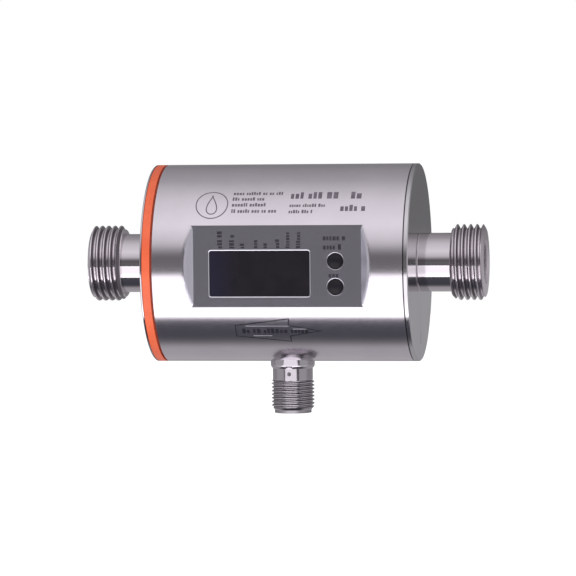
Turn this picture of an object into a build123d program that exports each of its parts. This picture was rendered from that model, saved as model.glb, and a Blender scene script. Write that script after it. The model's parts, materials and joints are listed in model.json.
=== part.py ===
"""Magnetic-inductive flow meter for a half-inch pipe.

Millimetres. The pipe runs along X and the liquid flows towards +X. The display looks
towards -Y, the plug connector points down, and the origin is on the pipe axis at mid length.
"""

import math
import os

from build123d import *

# Overall size
overall_length = 110.0
body_radius = 27.3
body_length = 73.5
bore_radius = 5.5

# Housing shell and the discs that close it
shell_wall = 1.5
disc_edge = 0.45
ring_width = 2.3
ring_step_width = 0.5
ring_step_depth = 0.9
rim_bevel = 0.15
cap_edge = 1.36
cap_bevel = 0.25
seam_bevel = 0.12
end_plate = 3.0
spigot_reach = 3.0
spigot_wall = 2.2
cap_notch_width = 0.35
cap_notch_depth = 0.3
cap_notch_length = 3.5
cap_notch_radius = 20.85

# Clearances
slip = 0.05
touch = 0.01
key_slip = 0.06

# Pressed-in flat for the display
flat_depth = 2.38
flat_length = 46.1
flat_middle = 0.75
flat_end_slope = 45.0
bend_radius = 1.8

# Window and key holes in the flat
window_width = 27.5
window_height = 12.3
window_x = -4.12
window_z = -2.0
window_corner = 0.5
window_edge_radius = 0.38
key_x = 16.73
key_z = -2.14
key_pitch = 6.98
key_radius = 2.1
key_hole_edge_radius = 0.3
key_travel = 0.4
key_rise = 0.75
key_flange_radius = 3.15
key_flange = 0.9
key_stem_radius = 1.0

# Threaded pipe fittings
pipe_thread_radius = 10.4775
pipe_thread_length = 9.1
pipe_thread_bevel = 0.75
pipe_thread_back_bevel = 1.2
neck_radius = 8.1
bore_lead_in = 0.5
socket_wall = 2.1
socket_reach = 7.75
socket_floor = 2.25
socket_gap = 0.5

# Measuring tube, with bosses for the sensing pins
tube_radius = 8.0
tube_lead_in = 0.4
seal_section = 1.28
seal_groove_width = 1.8
seal_place = 2.6
boss_radius = 4.4
boss_distance = 10.4
pin_head_radius = 2.2
pin_head = 1.7
pin_shank_radius = 1.25
pin_seal_section = 0.98
pin_nut_width = 5.0
pin_nut = 1.8
rear_pin_distance = 14.8
probe_x = 18.0

# Field magnet
shoe_length = 18.0
shoe_wall = 1.2
shoe_half_angle = 48.0
core_radius = 3.2
tenon_radius = 2.0
bobbin_wall = 1.0
bobbin_flange = 0.8
bobbin_flange_radius = 8.2
coil_radius = 7.6
yoke_gap = 5.8
yoke_wall = 1.5
yoke_width = 16.0
yoke_front_angle = 35.0
lead_radius = 0.4
lead_spread = 2.0
lead_gap = 1.2
rear_lead_x = 13.0
rear_lead_radius = 0.5
rear_lead_bend = 3.0

# Display parts, in the order they stack behind the flat
gasket = 0.5
lens_plate = 1.2
lens_overlap = 2.0
lens_setback = 0.4
display_depth = 2.5
display_width = 24.0
display_height = 9.0
display_drop = 1.3
digit_count = 4
digit_pitch = 5.7
digit_width = 4.0
digit_height = 7.0
digit_recess = 0.25
board = 1.2
board_gap = 1.6
display_board_length = 44.4
display_board_height = 19.2
lamp_count = 8
lamp_pitch = 3.09
lamp_x = -4.15
lamp_drop = 1.4
lamp_size = 1.3
lamp_height = 0.8
switch_size = 4.5
switch_height = 1.6
switch_stem_radius = 1.1
switch_stem = 0.4

# Main board, its carrier and screws
main_board_gap = 2.4
main_board_play = 0.3
rail_depth = 2.6
rail_height = 3.0
rail_inset = 2.5
rib_thickness = 2.0
rib_depth = 3.0
spacer_radius = 1.8
spacer_inset = 0.3
screw_radius = 0.9
screw_head_radius = 1.6
screw_head = 1.1
screw_bite = 1.9
main_screw_inset = 4.0
link_length = 12.0
link_height = 3.0
chip_size = 8.0
chip_height = 1.3
chip_x = -13.0
capacitor_radius = 2.2
capacitor_height = 2.4

# Plug connector
plug_x = 0.9
plug_thread_radius = 5.95
plug_thread_length = 7.0
plug_neck_radius = 5.55
plug_collar_radius = 6.1
plug_collar_height = 1.94
plug_collar_slope = 0.92
plug_nose_bevel = 0.45
plug_thread_height = 5.9
plug_nose_height = 14.3
plug_nose_radius = 5.1
plug_bore_radius = 4.35
plug_inner_depth = 3.3
plug_mark_radius = 0.5
plug_mark_height = 3.7
insert_face_depth = 8.6
insert_flange = 1.0
insert_flange_radius = 5.0
insert_key_width = 1.0
insert_key_height = 0.6
plug_pin_count = 4
plug_pin_radius = 0.5
plug_pin_circle = 2.7
plug_pin_setback = 1.1
plug_board = 0.8
plug_board_gap = 0.8
flex = 0.4
flex_width = 7.0

# Places along the pipe that follow from the sizes above
half_length = overall_length / 2
body_end = body_length / 2
ring_start = -body_end + disc_edge
ring_step_start = ring_start + ring_width
shell_start = ring_step_start + ring_step_width
shell_end = body_end - cap_edge
inner_start = shell_start + spigot_reach
inner_end = shell_end - spigot_reach
shell_bore = body_radius - shell_wall
spigot_radius = shell_bore - slip
yoke_radius = shell_bore - yoke_gap
plate_inner = body_end - end_plate
thread_start = half_length - pipe_thread_length
tube_end = plate_inner - socket_floor
socket_end = plate_inner - socket_reach
socket_bore = tube_radius + slip
socket_radius = socket_bore + socket_wall
seal_floor = socket_bore - seal_section - 2 * touch
seal_x = tube_end - seal_place

# Distances below the pipe axis along the plug connector
plug_inner_level = body_radius - plug_inner_depth
plug_collar_level = body_radius + plug_collar_height
plug_mark_level = body_radius + plug_mark_height
plug_thread_level = body_radius + plug_thread_height
plug_nose_level = body_radius + plug_nose_height
insert_face_level = plug_nose_level - insert_face_depth

# Distances from the pipe axis, going inwards from the flat
flat_distance = body_radius - flat_depth
flat_inside = flat_distance - shell_wall
gasket_back = flat_inside - gasket
lens_back = gasket_back - lens_plate
display_board_front = lens_back - display_depth
display_board_back = display_board_front - board
main_board_front = display_board_back - board_gap
main_board_back = main_board_front - board
rail_back = main_board_back - rail_depth
main_board_height = 2 * (math.sqrt(shell_bore**2 - main_board_front**2) - main_board_gap)
rail_z = main_board_height / 2 - rail_inset
lead_height = rail_z - rail_height / 2 - lead_gap
key_flange_front = flat_inside - slip
switch_top = display_board_front + switch_height + switch_stem
key_stem_end = switch_top + key_travel + slip
key_places = {"mode": key_z + key_pitch / 2, "set": key_z - key_pitch / 2}

# Sensing pins and field magnet
pin_head_back = bore_radius + pin_head
pin_pocket_floor = pin_head_back + pin_seal_section + 2 * touch
pin_pocket_radius = pin_shank_radius + pin_seal_section + 2 * touch
shoe_inner = tube_radius + slip
shoe_outer = shoe_inner + shoe_wall
core_top = math.sqrt(yoke_radius**2 - core_radius**2) - touch
bobbin_base = shoe_outer + slip
bobbin_top = math.sqrt(yoke_radius**2 - bobbin_flange_radius**2) - slip
bobbin_bore = core_radius + slip
bobbin_barrel = bobbin_bore + bobbin_wall


def turned_x(profile):
    """Solid turned about the pipe axis, from (x, radius) corners."""
    return revolve(make_face(Polyline(*profile, close=True)), Axis.X)


def turned_y(profile, x=0.0, z=0.0, side=-1):
    """Solid turned about a line along Y, from (radius, distance from the pipe axis) corners."""
    corners = [(radius, side * distance) for radius, distance in profile]
    return Pos(x, 0, z) * revolve(make_face(Polyline(*corners, close=True)), Axis.Y)


def disc_y(radius, near, far, x=0.0, z=0.0, side=-1):
    """Plain round pin or hole along Y between two distances from the pipe axis."""
    return turned_y([(0, near), (radius, near), (radius, far), (0, far)], x, z, side)


def turned_z(profile, x=0.0, side=-1):
    """Solid turned about a line along Z, from (radius, distance from the pipe axis) corners."""
    corners = [(radius, 0, side * distance) for radius, distance in profile]
    return Pos(x, 0, 0) * revolve(make_face(Polyline(*corners, close=True)), Axis.Z)


def slab(x_low, x_high, near, far, z_low, z_high):
    """Box in front of the pipe, between two distances from the pipe axis."""
    size = (x_high - x_low, far - near, z_high - z_low)
    middle = ((x_low + x_high) / 2, -(near + far) / 2, (z_low + z_high) / 2)
    return Pos(*middle) * Box(*size)


def front_prism(shape, x, z, near, far):
    """A flat shape drawn as seen from the front, given depth between two distances."""
    plane = Plane(origin=(x, -near, z), x_dir=(1, 0, 0), z_dir=(0, -1, 0))
    return extrude(plane * shape, amount=far - near)


def pipe_slice(shape, x_low, x_high):
    """A flat shape drawn across the pipe, with its axes along Y and Z, given length along X."""
    plane = Plane(origin=(x_low, 0, 0), x_dir=(0, 1, 0), z_dir=(1, 0, 0))
    return extrude(plane * shape, amount=x_high - x_low)


def drilled(solid, places, radius):
    """The solid with holes along Y at the given (x, z) places."""
    for x, z in places:
        solid -= Pos(x, 0, z) * Rot(90, 0, 0) * Cylinder(radius, 4 * body_radius)
    return solid


def pressed_place(wall):
    """What the pressed-in flat takes off a round body, with the sheet's thickness added."""
    rise = body_radius
    run = rise / math.tan(math.radians(flat_end_slope))
    left = flat_middle - flat_length / 2
    right = flat_middle + flat_length / 2
    top = -flat_distance - rise
    outline = make_face(
        Polyline(
            (left, -flat_distance),
            (right, -flat_distance),
            (right + run, top),
            (left - run, top),
            close=True,
        )
    )
    if wall:
        outline = offset(outline, amount=wall, kind=Kind.INTERSECTION)
    return extrude(outline, amount=2 * body_radius, both=True)


def front_edges(solid, x, z, width, height):
    """Edges of an opening in the flat, as seen from the front."""
    near = solid.edges().filter_by_position(Axis.Y, -flat_distance - touch, -flat_distance + touch)
    near = near.filter_by_position(Axis.X, x - width / 2 - touch, x + width / 2 + touch)
    return near.filter_by_position(Axis.Z, z - height / 2 - touch, z + height / 2 + touch)


def housing_shell():
    """Round shell with the pressed-in flat, its window, key holes and plug hole."""
    length = shell_end - shell_start
    middle = (shell_start + shell_end) / 2
    outside = Pos(middle, 0, 0) * Rot(0, 90, 0) * Cylinder(body_radius, length)
    outside = chamfer(outside.edges().filter_by(GeomType.CIRCLE), seam_bevel)
    outside -= pressed_place(0)
    outside = fillet(outside.edges().filter_by(GeomType.ELLIPSE), bend_radius)
    inside = Pos(middle, 0, 0) * Rot(0, 90, 0) * Cylinder(shell_bore, length)
    inside -= pressed_place(shell_wall)
    shell = outside - inside
    window = RectangleRounded(window_width, window_height, window_corner)
    shell -= front_prism(window, window_x, window_z, flat_inside - 1, flat_distance + 1)
    shell = fillet(front_edges(shell, window_x, window_z, window_width, window_height), window_edge_radius)
    hole = key_radius + key_slip
    for z in key_places.values():
        shell -= disc_y(hole, flat_inside - 1, flat_distance + 1, key_x, z)
        shell = fillet(front_edges(shell, key_x, z, 2 * hole, 2 * hole), key_hole_edge_radius)
    plug_hole = plug_collar_radius + slip
    shell -= Pos(plug_x, 0, -body_radius) * Cylinder(plug_hole, 4 * shell_wall)
    return shell


def inlet_end_disc():
    """Disc on the inlet side: a thin edge outside, and a spigot for the ring and the shell."""
    hole = neck_radius + slip
    return turned_x(
        [
            (-body_end, hole),
            (-body_end, body_radius - rim_bevel),
            (rim_bevel - body_end, body_radius),
            (ring_start, body_radius),
            (ring_start, spigot_radius),
            (inner_start, spigot_radius),
            (inner_start, spigot_radius - spigot_wall),
            (-plate_inner, spigot_radius - spigot_wall),
            (-plate_inner, hole),
        ]
    )


def insulating_ring():
    """Orange ring between the inlet disc and the shell, with a step that leaves a dark groove."""
    return turned_x(
        [
            (ring_start, shell_bore),
            (ring_start, body_radius - rim_bevel),
            (ring_start + rim_bevel, body_radius),
            (ring_step_start, body_radius),
            (ring_step_start, body_radius - ring_step_depth),
            (shell_start, body_radius - ring_step_depth),
            (shell_start, shell_bore),
        ]
    )


def outlet_end_cap():
    """Cap on the outlet side, bevelled at its rim, with a small notch in its face."""
    hole = neck_radius + slip
    cap = turned_x(
        [
            (body_end, hole),
            (body_end, body_radius - cap_bevel),
            (body_end - cap_bevel, body_radius),
            (shell_end + seam_bevel, body_radius),
            (shell_end, body_radius - seam_bevel),
            (shell_end, spigot_radius),
            (inner_end, spigot_radius),
            (inner_end, spigot_radius - spigot_wall),
            (plate_inner, spigot_radius - spigot_wall),
            (plate_inner, hole),
        ]
    )
    notch = Box(2 * cap_notch_depth, cap_notch_width, cap_notch_length)
    return cap - Pos(body_end, 0, -cap_notch_radius) * notch


def pipe_fitting(side):
    """Threaded end: seal face, thread, neck through the disc, and the socket for the tube."""
    face_radius = pipe_thread_radius - pipe_thread_bevel
    profile = [
        (tube_end, bore_radius),
        (half_length - bore_lead_in, bore_radius),
        (half_length, bore_radius + bore_lead_in),
        (half_length, face_radius),
        (half_length - pipe_thread_bevel, pipe_thread_radius),
        (thread_start + pipe_thread_back_bevel, pipe_thread_radius),
        (thread_start, pipe_thread_radius - pipe_thread_back_bevel),
        (thread_start, neck_radius),
        (plate_inner, neck_radius),
        (plate_inner, socket_radius),
        (socket_end, socket_radius),
        (socket_end, socket_bore),
        (tube_end, socket_bore),
    ]
    return turned_x([(side * x, radius) for x, radius in profile])


def measuring_tube():
    """Plastic tube with seal grooves at its ends and a pocketed boss at each sensing pin."""
    half_groove = seal_groove_width / 2
    tube = turned_x(
        [
            (-tube_end, 0),
            (-tube_end, tube_radius - tube_lead_in),
            (-tube_end + tube_lead_in, tube_radius),
            (-seal_x - half_groove, tube_radius),
            (-seal_x - half_groove, seal_floor),
            (-seal_x + half_groove, seal_floor),
            (-seal_x + half_groove, tube_radius),
            (seal_x - half_groove, tube_radius),
            (seal_x - half_groove, seal_floor),
            (seal_x + half_groove, seal_floor),
            (seal_x + half_groove, tube_radius),
            (tube_end - tube_lead_in, tube_radius),
            (tube_end, tube_radius - tube_lead_in),
            (tube_end, 0),
        ]
    )
    for _, x, side, _ in sensing_pins():
        tube += disc_y(boss_radius, 0, boss_distance, x, 0, side)
    for _, x, side, _ in sensing_pins():
        tube -= disc_y(pin_shank_radius + slip, 0, boss_distance + 1, x, 0, side)
        tube -= disc_y(pin_pocket_radius, 0, pin_pocket_floor, x, 0, side)
    return tube - Rot(0, 90, 0) * Cylinder(bore_radius, overall_length)


def squeezed_section(across, along, section):
    """Corners of a ring seal's section, pressed flat where it meets its groove."""
    flat = section / 4
    half = section / 2
    signs = [(1, 1), (-1, 1), (-1, -1), (1, -1)]
    corners = []
    for number, (a, b) in enumerate(signs):
        pair = [(across + a * half, along + b * flat), (across + a * flat, along + b * half)]
        corners += pair if number % 2 == 0 else pair[::-1]
    return corners


def tube_seal(side):
    """Ring seal in the groove at one end of the tube, as it is when squeezed."""
    middle = socket_bore - touch - seal_section / 2
    return turned_x([(side * x, radius) for x, radius in squeezed_section(seal_x, middle, seal_section)])


def sensing_pins():
    """Name, place along the pipe, side and end distance of each pin that meets the liquid."""
    return [
        ("front_electrode", 0.0, -1, main_board_back),
        ("rear_electrode", 0.0, 1, rear_pin_distance),
        ("temperature_probe", probe_x, -1, main_board_back),
    ]


def sensing_pin(x, side, end):
    """Headed pin whose face is flush with the bore."""
    return turned_y(
        [
            (0, bore_radius),
            (pin_head_radius, bore_radius),
            (pin_head_radius, pin_head_back),
            (pin_shank_radius, pin_head_back),
            (pin_shank_radius, end),
            (0, end),
        ],
        x,
        0,
        side,
    )


def pin_seal(x, side):
    """Small ring seal under a pin's head."""
    distance = pin_head_back + touch + pin_seal_section / 2
    middle = pin_shank_radius + touch + pin_seal_section / 2
    return turned_y(squeezed_section(middle, distance, pin_seal_section), x, 0, side)


def pin_nut_part(x, side):
    """Hexagon nut that draws a pin into its pocket."""
    outline = RegularPolygon(pin_nut_width / 2, 6, major_radius=False) - Circle(pin_shank_radius + slip)
    nut = front_prism(outline, x, 0, boss_distance, boss_distance + pin_nut)
    if side > 0:
        nut = mirror(nut, about=Plane.XZ)
    return nut


def ring_sector(inner, outer, start_angle, end_angle):
    """Part of a ring across the pipe; angles run from +Y towards +Z."""
    sector = Circle(outer) - Circle(inner)
    reach = 2 * outer
    steps = max(2, math.ceil((end_angle - start_angle) / 60))
    corners = [(0, 0)]
    for step in range(steps + 1):
        angle = math.radians(start_angle + (end_angle - start_angle) * step / steps)
        corners.append((reach * math.cos(angle), reach * math.sin(angle)))
    return sector & make_face(Polyline(*corners, close=True))


def pole_shoe(side):
    """Curved shoe on the tube, with its coil core and the tenon riveted into the yoke."""
    arc = ring_sector(shoe_inner, shoe_outer, 90 - shoe_half_angle, 90 + shoe_half_angle)
    shoe = pipe_slice(arc, -shoe_length / 2, shoe_length / 2)
    tenon_end = yoke_radius + yoke_wall - slip - tenon_radius**2 / yoke_radius
    core = turned_z(
        [
            (0, (shoe_inner + shoe_outer) / 2),
            (core_radius, (shoe_inner + shoe_outer) / 2),
            (core_radius, core_top),
            (tenon_radius, core_top),
            (tenon_radius, tenon_end),
            (0, tenon_end),
        ],
        0,
        1,
    )
    core -= Rot(0, 90, 0) * Cylinder(shoe_inner, shoe_length)
    shoe += core
    return shoe if side > 0 else mirror(shoe, about=Plane.XY)


def bobbin(side):
    """Plastic spool that slides over a core."""
    return turned_z(
        [
            (bobbin_bore, bobbin_base),
            (bobbin_flange_radius, bobbin_base),
            (bobbin_flange_radius, bobbin_base + bobbin_flange),
            (bobbin_barrel, bobbin_base + bobbin_flange),
            (bobbin_barrel, bobbin_top - bobbin_flange),
            (bobbin_flange_radius, bobbin_top - bobbin_flange),
            (bobbin_flange_radius, bobbin_top),
            (bobbin_bore, bobbin_top),
        ],
        0,
        side,
    )


def coil(side):
    """Copper winding between the bobbin's flanges."""
    low = bobbin_base + bobbin_flange + touch
    high = bobbin_top - bobbin_flange - touch
    inner = bobbin_barrel + touch
    return turned_z([(inner, low), (coil_radius, low), (coil_radius, high), (inner, high)], 0, side)


def field_yoke():
    """Bent steel strip that joins the two cores round the back of the tube."""
    arc = ring_sector(yoke_radius, yoke_radius + yoke_wall, -90 - yoke_front_angle, 90 + yoke_front_angle)
    yoke = pipe_slice(arc, -yoke_width / 2, yoke_width / 2)
    return yoke - Cylinder(tenon_radius + slip, 4 * body_radius)


def coil_leads():
    """Two stiff leads from each coil to the main board."""
    length = main_board_back - coil_radius - slip
    middle = (main_board_back + coil_radius + slip) / 2
    leads = []
    for x in (-lead_spread, lead_spread):
        for z in (-lead_height, lead_height):
            leads.append(Pos(x, -middle, z) * Rot(90, 0, 0) * Cylinder(lead_radius, length))
    return leads


def rear_electrode_lead():
    """Insulated wire from the rear electrode over the tube to the main board."""
    distance = rear_pin_distance + rear_lead_radius + slip
    path = FilletPolyline(
        (-pin_shank_radius, distance, 0),
        (rear_lead_x, distance, 0),
        (rear_lead_x, distance, lead_height),
        (rear_lead_x, -main_board_back, lead_height),
        radius=rear_lead_bend,
    )
    start = Plane(origin=path @ 0, z_dir=path % 0)
    return sweep(start * Circle(rear_lead_radius), path=path)


def electronics_carrier():
    """Moulded frame clamped between the end discs: two curved ribs and two rails."""
    reach = 2 * body_radius
    front_half = Pos(-rail_back - reach / 2, 0) * Rectangle(reach, reach)
    band = Circle(spigot_radius) - Circle(spigot_radius - rib_depth)
    cross_bar = Pos(-(rail_back + main_board_back) / 2, 0) * Rectangle(rail_depth, reach)
    rib = (band & front_half) + (Circle(spigot_radius) & cross_bar)
    carrier = pipe_slice(rib, inner_start, inner_start + rib_thickness)
    carrier += pipe_slice(rib, inner_end - rib_thickness, inner_end)
    for z in (-rail_z, rail_z):
        carrier += slab(
            inner_start, inner_end, rail_back, main_board_back, z - rail_height / 2, z + rail_height / 2
        )
    for x, z in main_screw_places():
        hole = screw_radius + touch
        floor = main_board_back - screw_bite
        carrier -= disc_y(hole, floor, flat_distance, x, z)
    return carrier - Rot(0, 90, 0) * Cylinder(socket_radius + socket_gap, overall_length)


def main_board_span():
    """Where the main board starts and ends between the carrier's ribs."""
    low = inner_start + rib_thickness + main_board_play
    high = inner_end - rib_thickness - main_board_play
    return low, high


def main_screw_places():
    """Screws that hold the main board to the carrier's rails."""
    low, high = main_board_span()
    return [(x, z) for x in (low + main_screw_inset, high - main_screw_inset) for z in (-rail_z, rail_z)]


def display_board_span():
    """Where the display board starts and ends, centred behind the flat."""
    return flat_middle - display_board_length / 2, flat_middle + display_board_length / 2


def display_screw_places():
    """Screws that hold the display board on its spacers."""
    low, high = display_board_span()
    inset = spacer_radius + spacer_inset
    z = display_board_height / 2 - inset
    return [(x, side * z) for x in (low + inset, high - inset) for side in (-1, 1)]


def main_board():
    """Circuit board on the carrier's rails."""
    low, high = main_board_span()
    half = main_board_height / 2
    plate = slab(low, high, main_board_back, main_board_front, -half, half)
    return drilled(plate, main_screw_places() + display_screw_places(), screw_radius + slip)


def display_board():
    """Circuit board that carries the display, the lamps and the switches."""
    low, high = display_board_span()
    half = display_board_height / 2
    plate = slab(low, high, display_board_back, display_board_front, -half, half)
    return drilled(plate, display_screw_places(), screw_radius + slip)


def board_spacers():
    """Sleeves between the two boards."""
    sleeve = Circle(spacer_radius) - Circle(screw_radius + slip)
    places = display_screw_places()
    return [front_prism(sleeve, x, z, main_board_front, display_board_back) for x, z in places]


def screw(x, z, seat, tip):
    """Pan-head screw from the front, between the face under its head and its tip."""
    return turned_y(
        [
            (0, tip),
            (screw_radius, tip),
            (screw_radius, seat),
            (screw_head_radius, seat),
            (screw_head_radius, seat + screw_head / 2),
            (screw_head_radius / 2, seat + screw_head),
            (0, seat + screw_head),
        ],
        x,
        z,
    )


def main_board_screws():
    """Screws from the main board into the rails."""
    tip = main_board_back - screw_bite + touch
    return [screw(x, z, main_board_front, tip) for x, z in main_screw_places()]


def display_board_screws():
    """Screws through the display board, its spacers and the main board."""
    return [screw(x, z, display_board_front, main_board_back) for x, z in display_screw_places()]


def board_link():
    """Plug strip that joins the two boards."""
    half = link_length / 2
    z_half = link_height / 2
    return slab(flat_middle - half, flat_middle + half, main_board_front, display_board_back, -z_half, z_half)


def main_board_parts():
    """Processor and two capacitors on the back of the main board."""
    half = chip_size / 2
    near = main_board_back - chip_height
    parts = [slab(chip_x - half, chip_x + half, near, main_board_back, -half, half)]
    for side in (-1, 1):
        top = main_board_back - capacitor_height
        z = side * (half + 2 * capacitor_radius)
        parts.append(disc_y(capacitor_radius, top, main_board_back, chip_x + half, z))
    return parts


def display_module():
    """Numeric display block, with a shallow recess for each digit."""
    top = window_z + window_height / 2 - display_drop - 2 * lamp_drop
    z = top - display_height / 2 + display_drop
    block = front_prism(Rectangle(display_width, display_height), window_x, z, display_board_front, lens_back)
    first = window_x - digit_pitch * (digit_count - 1) / 2
    for number in range(digit_count):
        recess = Rectangle(digit_width, digit_height)
        x = first + number * digit_pitch
        block -= front_prism(recess, x, z, lens_back - digit_recess, lens_back + 1)
    return block


def status_lamps():
    """Row of small lamps behind the window's upper edge."""
    first = lamp_x - lamp_pitch * (lamp_count - 1) / 2
    z = window_z + window_height / 2 - lamp_drop
    lamp = Rectangle(lamp_size, lamp_size)
    far = display_board_front + lamp_height
    places = [first + number * lamp_pitch for number in range(lamp_count)]
    return [front_prism(lamp, x, z, display_board_front, far) for x in places]


def key_switch(z):
    """Push switch on the display board, under a key."""
    body_top = display_board_front + switch_height
    body = front_prism(Rectangle(switch_size, switch_size), key_x, z, display_board_front, body_top)
    return body + front_prism(Circle(switch_stem_radius), key_x, z, body_top, switch_top)


def key(z):
    """Domed key: it shows through its hole, a flange keeps it in and a stem meets the switch."""
    flange_back = key_flange_front - key_flange
    shoulder = flat_distance
    crown = flat_distance + key_rise
    outline = Polyline(
        (0, -crown),
        (0, -key_stem_end),
        (key_stem_radius, -key_stem_end),
        (key_stem_radius, -flange_back),
        (key_flange_radius, -flange_back),
        (key_flange_radius, -key_flange_front),
        (key_radius, -key_flange_front),
        (key_radius, -shoulder),
    )
    dome = RadiusArc((key_radius, -shoulder), (0, -crown), dome_radius())
    return Pos(key_x, 0, z) * revolve(make_face(outline + dome), Axis.Y)


def dome_radius():
    """Radius of the sphere that a key's dome is part of."""
    return (key_radius**2 + key_rise**2) / (2 * key_rise)


def window_gasket():
    """Rubber frame between the shell and the lens plate."""
    outer = RectangleRounded(
        window_width + 2 * lens_overlap, window_height + 2 * lens_overlap, window_corner + lens_overlap
    )
    inner = RectangleRounded(window_width, window_height, window_corner)
    return front_prism(outer - inner, window_x, window_z, gasket_back, flat_inside)


def display_lens():
    """Lens with a plate behind the shell and a step that fills the window."""
    plate = RectangleRounded(
        window_width + 2 * lens_overlap, window_height + 2 * lens_overlap, window_corner + lens_overlap
    )
    step = RectangleRounded(window_width - 2 * slip, window_height - 2 * slip, window_corner - slip)
    lens = front_prism(plate, window_x, window_z, lens_back, gasket_back)
    return lens + front_prism(step, window_x, window_z, gasket_back, flat_distance - lens_setback)


def connector_shell():
    """Threaded plug shell with a collar, bored for the insert."""
    mouth = plug_nose_radius
    thread_end = plug_thread_level + plug_thread_length
    shoulder = plug_inner_level + insert_flange
    shell = turned_z(
        [
            (insert_flange_radius + slip, plug_inner_level),
            (plug_collar_radius, plug_inner_level),
            (plug_collar_radius, plug_collar_level - plug_collar_slope),
            (plug_neck_radius, plug_collar_level),
            (plug_neck_radius, plug_thread_level - plug_thread_radius + plug_neck_radius),
            (plug_thread_radius, plug_thread_level),
            (plug_thread_radius, thread_end),
            (mouth, plug_nose_level - plug_nose_bevel),
            (mouth, plug_nose_level),
            (plug_bore_radius, plug_nose_level),
            (plug_bore_radius, shoulder),
            (insert_flange_radius + slip, shoulder),
        ],
        plug_x,
    )
    mark = Pos(plug_x, -plug_neck_radius - plug_mark_radius / 2, -plug_mark_level) * Sphere(plug_mark_radius)
    return shell - mark


def plug_pin_places():
    """Centres of the contact pins, seen along the connector."""
    places = []
    for number in range(plug_pin_count):
        angle = math.radians(45 + 360 * number / plug_pin_count)
        places.append((plug_x + plug_pin_circle * math.cos(angle), plug_pin_circle * math.sin(angle)))
    return places


def connector_insert():
    """Insulator that holds the pins, with a locating key along the mouth."""
    radius = plug_bore_radius - slip
    insert = turned_z(
        [
            (0, plug_inner_level),
            (insert_flange_radius, plug_inner_level),
            (insert_flange_radius, plug_inner_level + insert_flange - touch),
            (radius, plug_inner_level + insert_flange - touch),
            (radius, insert_face_level),
            (0, insert_face_level),
        ],
        plug_x,
    )
    key_length = plug_nose_level - insert_face_level - plug_pin_setback
    nib = Pos(plug_x, radius - insert_key_height / 2, -insert_face_level - key_length / 2) * Box(
        insert_key_width, insert_key_height, key_length
    )
    insert += nib & (Pos(plug_x, 0, -plug_thread_level) * Cylinder(radius, 4 * key_length))
    for x, y in plug_pin_places():
        insert -= Pos(x, y, -plug_thread_level) * Cylinder(plug_pin_radius + touch, 4 * key_length)
    return insert


def connector_pins():
    """Round-ended contact pins."""
    root = plug_inner_level - plug_board_gap
    tip = plug_nose_level - plug_pin_setback
    pins = []
    for x, y in plug_pin_places():
        pin = Pos(x, y, -(root + tip - plug_pin_radius) / 2) * Cylinder(
            plug_pin_radius, tip - plug_pin_radius - root
        )
        pins.append(pin + Pos(x, y, -tip + plug_pin_radius) * Sphere(plug_pin_radius))
    return pins


def connector_board():
    """Small round board soldered to the inner ends of the pins."""
    low = plug_inner_level - plug_board_gap
    return Pos(plug_x, 0, -low + plug_board / 2) * Cylinder(insert_flange_radius, plug_board)


def connector_flex():
    """Flexible strip from the connector board round to the main board's lower edge."""
    reach = 2 * body_radius
    top = -main_board_height / 2 - touch
    front = -insert_flange_radius - slip
    quarter = Pos(front - reach / 2, top - reach / 2) * Rectangle(reach, reach)
    board_edge = (-(main_board_front + main_board_back) / 2, top)
    plug_edge = (front, -plug_inner_level + plug_board_gap + plug_board / 2)
    band = trace(RadiusArc(board_edge, plug_edge, -shell_bore), flex)
    strip = pipe_slice(band, plug_x - flex_width / 2, plug_x + flex_width / 2)
    return strip & pipe_slice(quarter, plug_x - flex_width, plug_x + flex_width)


def all_nodes():
    """Every piece of the flow meter by name."""
    nodes = {
        "housing_shell": housing_shell(),
        "inlet_end_disc": inlet_end_disc(),
        "insulating_ring": insulating_ring(),
        "outlet_end_cap": outlet_end_cap(),
        "inlet_fitting": pipe_fitting(-1),
        "outlet_fitting": pipe_fitting(1),
        "measuring_tube": measuring_tube(),
        "inlet_tube_seal": tube_seal(-1),
        "outlet_tube_seal": tube_seal(1),
        "field_yoke": field_yoke(),
        "coil_leads": coil_leads(),
        "rear_electrode_lead": rear_electrode_lead(),
        "electronics_carrier": electronics_carrier(),
        "main_board": main_board(),
        "main_board_parts": main_board_parts(),
        "main_board_screws": main_board_screws(),
        "board_link": board_link(),
        "board_spacers": board_spacers(),
        "display_board": display_board(),
        "display_board_screws": display_board_screws(),
        "display_module": display_module(),
        "status_lamps": status_lamps(),
        "window_gasket": window_gasket(),
        "display_lens": display_lens(),
        "connector_shell": connector_shell(),
        "connector_insert": connector_insert(),
        "connector_pins": connector_pins(),
        "connector_board": connector_board(),
        "connector_flex": connector_flex(),
    }
    for name, x, side, end in sensing_pins():
        nodes[name] = sensing_pin(x, side, end)
        nodes[name + "_seal"] = pin_seal(x, side)
        nodes[name + "_nut"] = pin_nut_part(x, side)
    for name, side in (("upper", 1), ("lower", -1)):
        nodes[name + "_pole_shoe"] = pole_shoe(side)
        nodes[name + "_bobbin"] = bobbin(side)
        nodes[name + "_coil"] = coil(side)
    for name, z in key_places.items():
        nodes[name + "_key"] = key(z)
        nodes[name + "_switch"] = key_switch(z)
    return nodes


def main():
    os.makedirs("parts", exist_ok=True)
    for name, piece in all_nodes().items():
        if isinstance(piece, list):
            piece = Compound(children=piece)
        export_step(piece, f"parts/{name}.step")
        print(name, round(piece.volume, 2))


main()
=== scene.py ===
import json
import math
import random

import bmesh
import bpy
from mathutils import Matrix, Quaternion, Vector


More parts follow.
